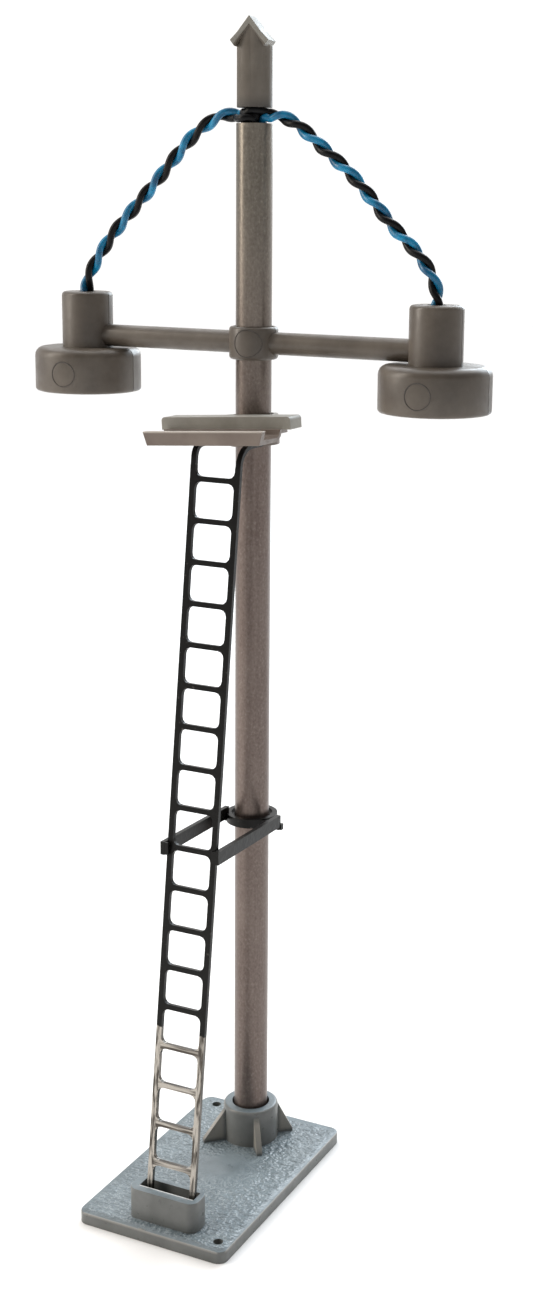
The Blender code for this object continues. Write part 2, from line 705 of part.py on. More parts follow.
def wire_points(side, pin, bends):
    """One insulated wire: diode pin, neck bore, twisted arch, then down inside the mast."""
    lamp = side * LAMP_REACH
    points = [
        (lamp, pin * PIN_SPACING, PIN_TOP + 0.3),
        (lamp, pin * 0.72, PIN_TOP + 0.75),
        (lamp, pin * WIRE_OFFSET, PIN_TOP + 1.3),
    ]
    line = smooth_route(LEAD_ROUTES[side], 8)
    turns, first = LEAD_TURNS[side]
    for i in range(WIRE_STEPS + 1):
        place, along = at_length(line, i / WIRE_STEPS)
        turn = 2 * math.pi * (turns * i / WIRE_STEPS + first)
        sideways = Vector((along.y, -along.x)) * WIRE_OFFSET * math.sin(turn) * pin
        deep = pin * WIRE_OFFSET * math.cos(turn)
        points.append((place.x + sideways.x, deep, place.y + sideways.y))
    points += bends
    down_x, down_y, _ = bends[-1]
    points += [(down_x, down_y, z) for z in (119.5, 90.0, 60.0, 30.0, WIRE_END_Z)]
    return [point(x, MAST_Y + y, z) for x, y, z in points]


def make_wires(blue, black):
    """Four insulated wires, a blue and a black one to each lamp."""
    for name, bends in MAST_BENDS.items():
        _, word, color = name.split("_")
        side = -1 if word == "left" else 1
        pin = side if color == "blue" else -side
        route = wire_points(side, pin, bends)
        curve = bpy.data.curves.new(name, "CURVE")
        curve.dimensions = "3D"
        curve.bevel_depth = WIRE_RADIUS * 0.001
        curve.bevel_resolution = 2
        curve.use_fill_caps = True
        spline = curve.splines.new("POLY")
        spline.points.add(len(route) - 1)
        for target, place in zip(spline.points, route):
            target.co = (*place, 1.0)
        curve.materials.append(blue if color == "blue" else black)
        made = bpy.data.objects.new(name, curve)
        bpy.context.scene.collection.objects.link(made)


def main():
    for old in list(bpy.data.objects):
        bpy.data.objects.remove(old, do_unlink=True)
    grey_moulding = material("grey_moulding", (0.29, 0.31, 0.32), 0.5)
    aluminium = material("brushed_tube", (0.42, 0.37, 0.33), 0.42, 1.0)
    lamp_grey = material("lamp_grey", (0.16, 0.145, 0.13), 0.45)
    cap_grey = material("cap_grey", (0.17, 0.15, 0.135), 0.5)
    platform_grey = material("platform_grey", (0.27, 0.24, 0.215), 0.5)
    ladder_black = material("ladder_black", (0.012, 0.012, 0.013), 0.3)
    bracket_black = material("bracket_black", (0.015, 0.015, 0.016), 0.35)
    led_clear = material("led_clear", (0.85, 0.86, 0.8), 0.1)
    wire_blue = material("wire_blue", (0.01, 0.25, 0.55), 0.35)
    wire_black = material("wire_black", (0.01, 0.01, 0.01), 0.4)
    make_base(grey_moulding)
    make_mast(aluminium)
    make_finial(cap_grey)
    make_head(lamp_grey)
    make_leds(led_clear)
    make_tray(platform_grey)
    make_deck(platform_grey)
    make_ladder(ladder_black)
    make_bracket(bracket_black)
    make_wires(wire_blue, wire_black)


main()
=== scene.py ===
"""Looks of the twin yard lamp: materials, fine shapes, wires, light and camera."""

import math
import random

import bmesh
import bpy
from mathutils import Matrix, Vector


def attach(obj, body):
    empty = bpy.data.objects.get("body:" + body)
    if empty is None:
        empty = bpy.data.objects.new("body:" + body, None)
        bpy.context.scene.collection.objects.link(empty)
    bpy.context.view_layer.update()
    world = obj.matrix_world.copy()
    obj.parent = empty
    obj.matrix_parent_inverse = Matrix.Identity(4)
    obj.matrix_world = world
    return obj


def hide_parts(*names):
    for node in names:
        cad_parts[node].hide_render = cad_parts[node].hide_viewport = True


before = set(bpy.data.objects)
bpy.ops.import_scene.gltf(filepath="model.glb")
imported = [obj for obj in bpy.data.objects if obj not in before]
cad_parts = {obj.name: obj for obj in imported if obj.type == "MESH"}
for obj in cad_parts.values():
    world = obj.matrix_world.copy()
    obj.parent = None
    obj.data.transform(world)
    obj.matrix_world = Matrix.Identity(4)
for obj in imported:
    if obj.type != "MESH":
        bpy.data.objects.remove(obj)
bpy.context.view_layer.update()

MM = 0.001

# Sizes and places below are millimetres, unless a comment says otherwise.
MAST_Y = 8.95
TUBE_TOP = 121.1
LAMP_REACH = 21.8
LAMP_RADIUS = 6.1
HUB_RADIUS = 2.72
LADDER_X = 0.93
# Half the gap between the ladder's stiles, and the height below which its paint is gone.
STILE_INSIDE = 2.4
BARE_BELOW = 23.3
PLATFORM_TILT = math.radians(3.84)
FASCIA_TOP = 89.17
CAP_FOOT = 122.7
SHADE_HEIGHT = 1.4
ROOF_TURN = math.radians(10)
ROOF_PITCH = 1.16
ROOF_UNDERSIDE = 131.25
PLATE_TOP = 1.4


def point(x, y, z):
    """A place in metres from millimetres."""
    return Vector((x, y, z)) * MM


# ---------------------------------------------------------------- camera

CAMERA_PLACE = (92.53, -163.39, 112.61)
CAMERA_YAW = 0.446
CAMERA_PITCH = 0.217
CAMERA_ROLL = 0.014
CAMERA_LENS = 48.93
CAMERA_SHIFT = (-0.0514, -0.0411)


def make_camera():
    """The camera, from its place and its three angles in radians."""
    yaw, pitch, roll = CAMERA_YAW, CAMERA_PITCH, CAMERA_ROLL
    ahead = Vector((-math.sin(yaw) * math.cos(pitch), math.cos(yaw) * math.cos(pitch), -math.sin(pitch)))
    level = Vector((math.cos(yaw), math.sin(yaw), 0.0))
    upright = level.cross(ahead)
    right = math.cos(roll) * level + math.sin(roll) * upright
    up = math.cos(roll) * upright - math.sin(roll) * level
    turn = Matrix((right, up, -ahead)).transposed().to_4x4()
    data = bpy.data.cameras.new("camera")
    data.lens = CAMERA_LENS
    data.sensor_width = 36.0
    data.shift_x, data.shift_y = CAMERA_SHIFT
    data.clip_start = 0.01
    camera = bpy.data.objects.new("camera", data)
    camera.matrix_world = Matrix.Translation(point(*CAMERA_PLACE)) @ turn
    bpy.context.scene.collection.objects.link(camera)
    bpy.context.scene.camera = camera


# ---------------------------------------------------------------- material tools


class Shader:
    """A Principled material with a few procedural helpers, in object coordinates."""

    def __init__(self, name, roughness, metallic=0.0, coat=0.0, specular=0.5):
        self.material = bpy.data.materials.new(name)
        self.material.use_nodes = True
        self.tree = self.material.node_tree
        self.main = self.tree.nodes["Principled BSDF"]
        self.main.inputs["Roughness"].default_value = roughness
        self.main.inputs["Metallic"].default_value = metallic
        self.main.inputs["Coat Weight"].default_value = coat
        self.main.inputs["Coat Roughness"].default_value = 0.12
        self.main.inputs["Specular IOR Level"].default_value = specular
        self.place = self.tree.nodes.new("ShaderNodeTexCoord").outputs["Object"]
        self.height = None

    def node(self, kind, **settings):
        """A node; settings that begin with in_ are its inputs' values."""
        made = self.tree.nodes.new(kind)
        for name, value in settings.items():
            if name.startswith("in_"):
                made.inputs[name[3:].replace("_", " ")].default_value = value
            else:
                setattr(made, name, value)
        return made

    def link(self, source, target):
        """Feeds an output into an input."""
        self.tree.links.new(source, target)

    def noise(self, scale, detail=3.0, stretch=(1.0, 1.0, 1.0)):
        """Noise whose grains are one over scale, in metres, stretched along the axes."""
        mapping = self.node("ShaderNodeMapping")
        mapping.inputs["Scale"].default_value = stretch
        self.link(self.place, mapping.inputs["Vector"])
        noise = self.node("ShaderNodeTexNoise", in_Scale=scale, in_Detail=detail, in_Roughness=0.55)
        self.link(mapping.outputs["Vector"], noise.inputs["Vector"])
        return noise.outputs["Fac"]

    def remap(self, value, low, high, to_low=0.0, to_high=1.0):
        """The value's span from low to high, spread over another one and held at its ends."""
        ranged = self.node("ShaderNodeMapRange", in_From_Min=low, in_From_Max=high)
        ranged.inputs["To Min"].default_value = to_low
        ranged.inputs["To Max"].default_value = to_high
        self.link(value, ranged.inputs["Value"])
        return ranged.outputs["Result"]

    def math(self, operation, first, second=0.0):
        """The outcome of an operation; each value is a number or an output."""
        made = self.node("ShaderNodeMath", operation=operation)
        for socket, value in zip(made.inputs, (first, second)):
            if isinstance(value, (int, float)):
                socket.default_value = value
            else:
                self.link(value, socket)
        return made.outputs[0]

    def times(self, first, *others):
        """The product of some values."""
        for other in others:
            first = self.math("MULTIPLY", first, other)
        return first

    def off(self, value, middle):
        """How far a value is from a middle one, either way."""
        return self.math("ABSOLUTE", self.math("SUBTRACT", value, middle))

    def part(self, source, index):
        """One coordinate of a vector."""
        split = self.node("ShaderNodeSeparateXYZ")
        self.link(source, split.inputs[0])
        return split.outputs[index]

    def axis(self, index):
        """The place along an axis, in metres."""
        return self.part(self.place, index)

    def facing(self, index):
        """How squarely a face looks along an axis: one, minus one or between."""
        return self.part(self.tree.nodes.new("ShaderNodeTexCoord").outputs["Normal"], index)

    def vector_math(self, operation, source, second):
        """A node that works on an output and a fixed vector."""
        made = self.node("ShaderNodeVectorMath", operation=operation)
        made.inputs[1].default_value = second
        self.link(source, made.inputs[0])
        return made

    def along(self, direction):
        """The place along a direction, in metres."""
        return self.vector_math("DOT_PRODUCT", self.place, direction).outputs["Value"]

    def length(self, source):
        """How long a vector is."""
        made = self.node("ShaderNodeVectorMath", operation="LENGTH")
        self.link(source, made.inputs[0])
        return made.outputs["Value"]

    def from_mast(self):
        """The distance from the mast's middle line, in metres."""
        flat = self.vector_math("MULTIPLY_ADD", self.place, (1.0, 1.0, 0.0))
        flat.inputs[2].default_value = point(0.0, -MAST_Y, 0.0)
        return self.length(flat.outputs["Vector"])

    def mixed(self, below, above, factor):
        """A finish laid over another as far as the factor says; each is a colour or an output."""
        mix = self.node("ShaderNodeMix", data_type="RGBA")
        for name, finish in (("A", below), ("B", above)):
            if isinstance(finish, tuple):
                mix.inputs[name].default_value = (*finish, 1.0)
            else:
                self.link(finish, mix.inputs[name])
        self.link(factor, mix.inputs["Factor"])
        return mix.outputs["Result"]

    def mottling(self, scale, detail=4.0):
        """Soft clouds between nought and one."""
        return self.remap(self.noise(scale, detail), 0.35, 0.65)

    def spot(self, place, size):
        """One inside a soft ellipsoid with its half sizes."""
        moved = self.vector_math("SUBTRACT", self.place, point(*place))
        scaled = self.vector_math("DIVIDE", moved.outputs["Vector"], point(*size))
        return self.remap(self.length(scaled.outputs["Vector"]), 0.45, 1.2, 1.0, 0.0)

    def band(self, axis, ends, soft):
        """One between two places on an axis, with soft ends."""
        value = self.axis(axis)
        low, high = ends
        rise = self.remap(value, (low - soft) * MM, (low + soft) * MM)
        fall = self.remap(value, (high - soft) * MM, (high + soft) * MM, 1.0, 0.0)
        return self.times(rise, fall)

    def upward(self):
        """One on faces that look up."""
        return self.remap(self.facing(2), 0.8, 0.95)

    def base(self, color):
        """Sets the surface's colour."""
        self.link(color, self.main.inputs["Base Color"])

    def roughness(self, value):
        """Sets how dull the surface is."""
        self.link(value, self.main.inputs["Roughness"])

    def bump(self, value, depth):
        """Raises the surface by depth, in metres, where value is one."""
        bump = self.node("ShaderNodeBump", in_Strength=1.0, in_Distance=depth)
        self.link(value, bump.inputs["Height"])
        if self.height is not None:
            self.link(self.height, bump.inputs["Normal"])
        self.height = bump.outputs["Normal"]
        self.link(self.height, self.main.inputs["Normal"])


# ---------------------------------------------------------------- plastics


def moulded_plastic(name, dark, light, roughness, rim=None):
    """Satin moulded plastic with faint mottling, dull patches and a very fine grain.

    A rim colour lightens the tilted upper edge of the platform's fascia, as a painted highlight.
    """
    shader = Shader(name, roughness)
    color = shader.mixed(dark, light, shader.mottling(260.0))
    grime = shader.remap(shader.noise(90.0, 5.0), 0.5, 0.75, 0.0, 0.45)
    color = shader.mixed(color, tuple(0.62 * part for part in dark), grime)
    if rim:
        height = shader.along((-math.sin(PLATFORM_TILT), 0.0, math.cos(PLATFORM_TILT)))
        top = FASCIA_TOP * math.cos(PLATFORM_TILT)
        # Painted highlight: the fascia's tilted upper edge turns towards the rim colour.
        color = shader.mixed(color, rim, shader.remap(height, (top - 0.2) * MM, (top - 0.05) * MM))
    shader.roughness(shader.remap(shader.noise(900.0), 0.3, 0.7, roughness - 0.07, roughness + 0.1))
    shader.base(color)
    shader.bump(shader.noise(2600.0, 2.0), 0.000007)
    shader.bump(shader.noise(180.0, 1.0), 0.00004)
    return shader.material


def lit_roof_plate(shader):
    """One on the roof plate of the cap, which gets painted light, and nought on the round body under it."""
    across = shader.along((math.cos(ROOF_TURN), math.sin(ROOF_TURN), 0.0))
    sideways = shader.off(across, MAST_Y * math.sin(ROOF_TURN) * MM)
    level = shader.math("ADD", shader.axis(2), shader.times(sideways, ROOF_PITCH))
    return shader.remap(level, (ROOF_UNDERSIDE - 0.05) * MM, (ROOF_UNDERSIDE + 0.05) * MM)


def cap_plastic():
    """The cap: lamp plastic, with painted shade just above the wires and painted light on a paler roof
    plate.
    """
    shader = Shader("cap_plastic", 0.45, specular=0.4)
    color = shader.mixed((0.079, 0.065, 0.050), (0.110, 0.093, 0.074), shader.mottling(300.0))
    # Painted light: the roof plate is a paler copy of the cap's plastic, standing in for the light it
    # catches.
    color = shader.mixed(color, (0.225, 0.215, 0.19), shader.times(lit_roof_plate(shader), 0.85))
    # Painted shade: the foot of the cap, just above the wires and the dark gap, is darkened.
    painted_shade = shader.remap(shader.axis(2), CAP_FOOT * MM, (CAP_FOOT + SHADE_HEIGHT) * MM, 0.7, 0.0)
    shader.base(shader.mixed(color, (0.03, 0.027, 0.025), painted_shade))
    shader.roughness(shader.remap(shader.noise(900.0), 0.3, 0.7, 0.4, 0.55))
    shader.bump(shader.noise(2600.0, 2.0), 0.000009)
    shader.bump(shader.noise(700.0, 2.0, (0.3, 0.3, 1.6)), 0.00001)
    return shader.material


# Parts of the base moulding, as (low, high) along the axis in each name.
HAMMERED_X = (-8.9, 8.9)
HAMMERED_Y = (-14.3, 14.3)
LIP_X = (-2.7, 4.15)
LIP_Y = (-12.3, -12.08)
LIP_Z = (4.9, 5.2)
FRONT_EDGE_Y = (-15.0, -14.72)
RIGHT_EDGE_X = (9.28, 9.5)
UPPER_EDGE_Z = (PLATE_TOP - 0.2, PLATE_TOP + 0.2)
GUSSET_Y = (2.0, 15.0)
GUSSET_Z = (PLATE_TOP + 0.35, PLATE_TOP + 4.2)
# The gussets' painted highlight comes in between these distances from the mast's middle line.
GUSSET_DARK_RADIUS = 3.35
GUSSET_PALE_RADIUS = 3.8


def hammered_top(shader):
    """How hammered the base is: its top, without the margins and a smooth patch in the middle."""
    top = shader.times(shader.band(2, (PLATE_TOP - 0.1, PLATE_TOP + 0.1), 0.05), shader.upward())
    inside = shader.times(shader.band(0, HAMMERED_X, 0.4), shader.band(1, HAMMERED_Y, 0.4))
    smooth = shader.spot((0.6, 1.0, PLATE_TOP), (4.2, 4.4, 9.0))
    return shader.times(top, inside, shader.math("SUBTRACT", 1.0, smooth))


def painted_highlights(shader, color):
    """The base's colour with painted highlights: a pale line on the socket's lip, pale upper front and
    right edges, and pale, lit gussets.
    """
    lip = shader.times(shader.band(1, LIP_Y, 0.03), shader.band(0, LIP_X, 0.1), shader.band(2, LIP_Z, 0.03))
    color = shader.mixed(color, (0.62, 0.63, 0.62), shader.times(lip, 0.8))
    edges = shader.math("ADD", shader.band(1, FRONT_EDGE_Y, 0.05), shader.band(0, RIGHT_EDGE_X, 0.05))
    edges = shader.times(edges, shader.band(2, UPPER_EDGE_Z, 0.08))
    color = shader.mixed(color, (0.30, 0.29, 0.27), shader.times(edges, 0.7))
    gussets = shader.remap(shader.from_mast(), GUSSET_DARK_RADIUS * MM, GUSSET_PALE_RADIUS * MM)
    gussets = shader.times(gussets, shader.band(2, GUSSET_Z, 0.2), shader.band(1, GUSSET_Y, 0.1))
    return shader.mixed(color, (0.34, 0.32, 0.285), shader.times(gussets, 0.75))


def hammered_plastic():
    """The base moulding: a hammered top with plain margins, and plain sides; the top's blue tint is painted
    sky reflection and its pale glints are painted highlights.
    """
    shader = Shader("hammered_grey", 0.36, specular=0.38)
    mottling = shader.mottling(320.0)
    color = shader.mixed((0.125, 0.130, 0.126), (0.170, 0.176, 0.172), mottling)
    # Painted reflection: faces that look up turn bluish, standing in for the sky they mirror.
    sky_reflection = shader.mixed((0.115, 0.150, 0.172), (0.165, 0.210, 0.238), mottling)
    color = shader.mixed(color, sky_reflection, shader.times(shader.upward(), 0.85))
    hammered = hammered_top(shader)
    dents = shader.noise(1700.0, 1.5)
    shader.bump(shader.times(dents, hammered), 0.00045)
    # Painted highlights: pale glints among the dents.
    glints = shader.times(shader.remap(shader.off(dents, 0.5), 0.0, 0.035, 1.0, 0.0), hammered)
    color = shader.mixed(color, (0.42, 0.47, 0.50), shader.times(glints, 0.5))
    shader.base(painted_highlights(shader, color))
    shader.roughness(shader.remap(shader.noise(1200.0), 0.3, 0.7, 0.26, 0.42))
    shader.bump(shader.noise(2400.0, 2.0), 0.000012)
    shader.bump(shader.noise(170.0, 1.0), 0.00006)
    return shader.material


def insulation(name, dark, light, specular):
    """Soft wire insulation with a slight sheen and rubbed patches."""
    shader = Shader(name, 0.3, specular=specular)
    shader.base(shader.mixed(dark, light, shader.mottling(700.0, 3.0)))
    shader.roughness(shader.remap(shader.noise(1100.0), 0.3, 0.7, 0.28, 0.45))
    shader.bump(shader.noise(2500.0, 2.0), 0.000006)
    return shader.material


def clear_epoxy():
    """The diodes' pale, shiny resin."""
    shader = Shader("clear_epoxy", 0.08, coat=0.3)
    shader.base(shader.mixed((0.78, 0.79, 0.72), (0.9, 0.9, 0.86), shader.noise(400.0)))
    return shader.material


# ---------------------------------------------------------------- metals

# The tube turns from rosy to olive between these heights.
OLIVE_FROM = 85.0
OLIVE_TO = 115.0


def drawn_tube():
    """Satin bronze-grey tube: drawing streaks, dull clouds, fine glints and dark specks."""
    shader = Shader("drawn_tube", 0.42, metallic=0.7)
    streaks = shader.noise(2600.0, 4.0, (1.0, 1.0, 0.03))
    clouds = shader.noise(260.0, 4.0, (1.0, 1.0, 0.35))
    grain = shader.noise(4200.0, 2.0, (1.0, 1.0, 0.7))
    uneven = shader.math("ADD", shader.times(streaks, 0.2), shader.times(clouds, 0.4))
    uneven = shader.math("ADD", uneven, shader.times(grain, 0.4))
    shade = shader.remap(uneven, 0.36, 0.64)
    rosy = shader.mixed((0.108, 0.080, 0.070), (0.185, 0.148, 0.131), shade)
    olive = shader.mixed((0.112, 0.098, 0.080), (0.205, 0.182, 0.152), shade)
    color = shader.mixed(rosy, olive, shader.remap(shader.axis(2), OLIVE_FROM * MM, OLIVE_TO * MM))
    color = shader.mixed(color, (0.30, 0.26, 0.23), shader.remap(grain, 0.6, 0.75, 0.0, 0.2))
    specks = shader.remap(shader.noise(1500.0, 3.0), 0.66, 0.74, 0.0, 0.3)
    shader.base(shader.mixed(color, (0.06, 0.045, 0.04), specks))
    shader.roughness(shader.remap(uneven, 0.38, 0.62, 0.28, 0.40))
    shader.bump(streaks, 0.000016)
    shader.bump(grain, 0.000012)
    return shader.material


def lit_bare_metal(shader):
    """The ladder's bare metal: painted reflections as dark and light lines along stiles and rungs, and
    painted shade on the sides.
    """
    sideways = shader.off(shader.axis(0), LADDER_X * MM)
    on_stile = shader.remap(sideways, (STILE_INSIDE - 0.1) * MM, (STILE_INSIDE + 0.1) * MM)
    on_rung = shader.math("SUBTRACT", 1.0, on_stile)
    upright = shader.times(shader.noise(3400.0, 2.0, (1.0, 1.0, 0.035)), on_stile)
    level = shader.times(shader.noise(3400.0, 2.0, (0.05, 1.0, 1.0)), on_rung)
    reflection_lines = shader.remap(shader.math("ADD", upright, level), 0.4, 0.56)
    metal = shader.mixed((0.075, 0.066, 0.057), (0.40, 0.37, 0.33), reflection_lines)
    # Painted shade: faces that don't look along the ladder's front or back are darker.
    side = shader.remap(shader.math("ABSOLUTE", shader.facing(1)), 0.9, 0.5)
    return shader.mixed(metal, (0.05, 0.045, 0.04), shader.times(side, 0.75))


def gloss_black(name, roughness, bare_below=None):
    """Thick black paint, uneven and glossy; below a height it can leave the metal bare."""
    shader = Shader(name, roughness, specular=0.16)
    color = shader.mixed((0.0025, 0.0024, 0.0022), (0.008, 0.0076, 0.007), shader.noise(500.0))
    chips = shader.remap(shader.noise(1900.0, 3.0), 0.66, 0.72, 0.0, 0.35)
    color = shader.mixed(color, (0.12, 0.11, 0.10), chips)
    shader.bump(shader.noise(1500.0, 2.0), 0.00003)
    if bare_below:
        wobble = shader.times(shader.noise(900.0, 2.0), 0.9 * MM)
        height = shader.math("ADD", shader.axis(2), wobble)
        bare = shader.remap(height, (bare_below + 0.5) * MM, (bare_below + 0.35) * MM)
        color = shader.mixed(color, lit_bare_metal(shader), bare)
        shader.link(bare, shader.main.inputs["Metallic"])
        shader.roughness(shader.remap(bare, 0.0, 1.0, roughness, 0.26))
    shader.base(color)
    return shader.material


# ---------------------------------------------------------------- fine shapes

# Edges sharper than these stay sharp on copies of CAD nodes and on small pieces, or get worn.
SMOOTH_ANGLE = math.radians(32)
SMALL_PIECE_ANGLE = math.radians(40)
WORN_ANGLE = math.radians(38)
# Points closer than this, in metres, become one, and edges flatter than this angle go.
SAME_POINT = 2e-6
FLAT_ANGLE = math.radians(0.6)


def show(name, bm, angle, finish):
    """An object with one finish, made from a bmesh and smoothed below an angle."""
    mesh = bpy.data.meshes.new(name)
    bm.to_mesh(mesh)
    bm.free()
    mesh.shade_smooth()
    mesh.set_sharp_from_angle(angle=angle)
    mesh.materials.append(finish)
    piece = bpy.data.objects.new(name, mesh)
    bpy.context.scene.collection.objects.link(piece)
    return piece


def softened(node, finish, bevel=0.0):
    """A finer copy of a CAD node: smooth round faces, and worn edges of the given width."""
    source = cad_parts[node]
    bm = bmesh.new()
    bm.from_mesh(source.data)
    bm.transform(source.matrix_world)
    bmesh.ops.remove_doubles(bm, verts=bm.verts, dist=SAME_POINT)
    bmesh.ops.dissolve_limit(bm, angle_limit=FLAT_ANGLE, verts=bm.verts, edges=bm.edges)
    piece = show(f"fine_{node}", bm, SMOOTH_ANGLE, finish)
    if bevel:
        worn = piece.modifiers.new("worn_edges", "BEVEL")
        worn.width = bevel * MM
        worn.segments = 2
        worn.limit_method = "ANGLE"
        worn.angle_limit = WORN_ANGLE
        worn.harden_normals = True
    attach(piece, "root")
    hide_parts(node)


def add_piece(name, bm, finish):
    """A small piece of its own, fixed to the object."""
    bmesh.ops.recalc_face_normals(bm, faces=bm.faces)
    piece = show(name, bm, SMALL_PIECE_ANGLE, finish)
    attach(piece, "root")


def circle(steps):
    """The angles of evenly spaced points round a circle."""
    return [2 * math.pi * i / steps for i in range(steps)]


def join_rings(bm, rings):
    """Faces between rings of as many points each."""
    for low, high in zip(rings, rings[1:]):
        for i in range(len(low)):
            bm.faces.new((low[i - 1], low[i], high[i], high[i - 1]))


RING_SIDES = 6
RING_STEPS = 48
RING_BEAD_RADIUS = 0.055
LAMP_RING = {"wall_radius": LAMP_RADIUS, "turn": math.radians(4.5), "height": 93.45, "radius": 1.4}
HUB_RING = {"wall_radius": HUB_RADIUS, "turn": math.radians(11), "height": 97.7, "radius": 1.5}


def ejector_ring(name, axis_x, finish, wall_radius, turn, height, radius):
    """A fine raised ring left by an ejector pin, laid on the front of a round wall."""
    bm = bmesh.new()
    rings = []
    for around in circle(RING_STEPS):
        across = wall_radius * math.sin(turn) + radius * math.cos(around)
        wall = math.sqrt(wall_radius**2 - across**2)
        outward = Vector((across / wall_radius, -wall / wall_radius, 0.0))
        spread = Vector((math.cos(around), 0.0, math.sin(around)))
        middle = Vector((axis_x + across, MAST_Y - wall, height + radius * math.sin(around)))
        ring = []
        for t in circle(RING_SIDES):
            place = middle + RING_BEAD_RADIUS * (math.cos(t) * spread + math.sin(t) * outward)
            ring.append(bm.verts.new(place * MM))
        rings.append(ring)
    join_rings(bm, [rings[-1], *rings])
    add_piece(name, bm, finish)


GATE_PLACE = Vector((-1.0, -14.62, 1.24))
GATE_SIZE = Vector((0.62, 0.22, 0.26))


def gate_scar(finish):
    """The torn stub of the moulding's gate on the front edge of the plate."""
    rng = random.Random(7)
    bm = bmesh.new()
    bmesh.ops.create_icosphere(bm, subdivisions=3, radius=1.0)
    for vert in bm.verts:
        vert.co *= rng.uniform(0.82, 1.12)
        vert.co = (vert.co * GATE_SIZE + GATE_PLACE) * MM
    add_piece("gate_scar", bm, finish)


# The plug's outline, as (radius, height above the tube's rim), and its middle line.
PLUG_OUTLINE = [(1.25, 0.02), (1.42, 0.2), (1.5, 0.5), (1.5, 1.1), (1.42, 1.4), (1.25, 1.56)]
PLUG_X = -0.35
PLUG_Y = MAST_Y + 0.35
PLUG_SIDES = 40


def gap_plug(finish):
    """A dark plug behind the wires, filling the gap between the tube's rim and the cap."""
    bm = bmesh.new()
    rings = []
    for radius, rise in PLUG_OUTLINE:
        ring = []
        for around in circle(PLUG_SIDES):
            x = PLUG_X + radius * math.cos(around)
            y = PLUG_Y + radius * math.sin(around)
            ring.append(bm.verts.new(point(x, y, TUBE_TOP + rise)))
        rings.append(ring)
    join_rings(bm, rings)
    bm.faces.new(rings[0])
    bm.faces.new(rings[-1])
    add_piece("gap_plug", bm, finish)


# ---------------------------------------------------------------- wires

STRAND_RADIUS = 0.40
STRAND_OFFSET = 0.38
PIN_TOP = 99.9
# From the diode's pin to the twist, as (height above the pin's top, distance from the lamp's middle).
PIN_STEPS = ((0.3, 0.9), (0.75, 0.72), (1.3, STRAND_OFFSET))
# Heights of the straight run down inside the tube.
INSIDE_TUBE = (119.5, 90.0, 60.0, 30.0, 0.35)
TWIST_STEPS = 150

# Each pair's middle line, as (x, z), from the lamp's neck to the mast's top.
LEAD_ROUTES = {
    -1: [
        (-21.8, 102.5),
        (-21.8, 103.4),
        (-21.3, 104.7),
        (-20.0, 106.7),
        (-18.3, 108.9),
        (-16.4, 110.9),
        (-14.7, 112.6),
        (-12.9, 114.4),
        (-11.1, 116.3),
        (-9.1, 118.4),
        (-7.0, 120.3),
        (-4.2, 121.9),
        (-2.1, 121.95),
    ],
    1: [
        (21.8, 102.5),
        (21.8, 103.5),
        (21.1, 105.6),
        (19.4, 107.8),
        (17.4, 109.7),
        (15.9, 111.2),
        (14.4, 112.9),
        (13.0, 114.4),
        (11.3, 116.1),
        (9.3, 117.7),
        (7.3, 119.3),
        (5.4, 120.8),
        (3.6, 121.7),
        (2.1, 121.9),
    ],
}

# Turns in each twist, with the share of a turn that it starts at.
LEAD_TURNS = {-1: (5.31, 0.087), 1: (5.85, -0.198)}

# Each wire's bends over the rim of the tube, as (x, y, z) from the mast's middle line.
MAST_BENDS = {
    "wire_left_blue": [(-1.5, 0.0, 122.15), (-1.15, -0.2, 121.6), (-1.1, -0.2, 120.8)],
    "wire_left_black": [
        (-1.4, -1.2, 121.55),
        (-0.5, -1.8, 121.6),
        (0.4, -1.5, 121.6),
        (0.55, -0.95, 121.0),
    ],
    "wire_right_blue": [(1.5, -0.45, 121.72), (1.15, -0.3, 121.3), (1.1, -0.2, 120.7)],
    "wire_right_black": [
        (1.6, 0.0, 122.25),
        (0.9, -0.9, 122.4),
        (0.2, -1.3, 122.4),
        (-0.4, -1.15, 122.0),
        (-0.6, -0.95, 121.2),
    ],
}


def smooth_route(places, per_span, before=None):
    """Catmull-Rom points through the given places, on from the place before them."""
    padded = [before or places[0]] + list(places) + [places[-1]]
    vectors = [Vector(place) for place in padded]
    out = []
    for a, b, c, d in zip(vectors, vectors[1:], vectors[2:], vectors[3:]):
        for i in range(per_span):
            t = i / per_span
            square = 2 * a - 5 * b + 4 * c - d
            cube = 3 * b - a - 3 * c + d
            out.append(0.5 * (2 * b + (c - a) * t + square * t * t + cube * t * t * t))
    return out + [vectors[-1]]


def at_length(line, share):
    """The place and direction at a share of a polyline's length."""
    lengths = [(b - a).length for a, b in zip(line, line[1:])]
    target = share * sum(lengths)
    for start, end, length in zip(line, line[1:], lengths):
        if target <= length:
            return start.lerp(end, target / length), (end - start).normalized()
        target -= length
    return line[-1], (line[-1] - line[-2]).normalized()


def wire_points(side, pin, bends):
    """One wire: diode pin, neck bore, twisted arch, then down inside the mast."""
    lamp = side * LAMP_REACH
    points = [(lamp, pin * apart, PIN_TOP + rise) for rise, apart in PIN_STEPS]
    line = smooth_route(LEAD_ROUTES[side], 12)
    turns, first = LEAD_TURNS[side]
    for i in range(TWIST_STEPS + 1):
        place, along = at_length(line, i / TWIST_STEPS)
        turn = 2 * math.pi * (turns * i / TWIST_STEPS + first)
        sideways = Vector((along.y, -along.x)) * STRAND_OFFSET * math.sin(turn) * pin
        points.append((place.x + sideways.x, pin * STRAND_OFFSET * math.cos(turn), place.y + sideways.y))
    points += [tuple(place) for place in smooth_route([points[-1], *bends], 5, points[-6])[1:]]
    down_x, down_y, _ = bends[-1]
    points += [(down_x, down_y, z) for z in INSIDE_TUBE]
    return [point(x, MAST_Y + y, z) for x, y, z in points]


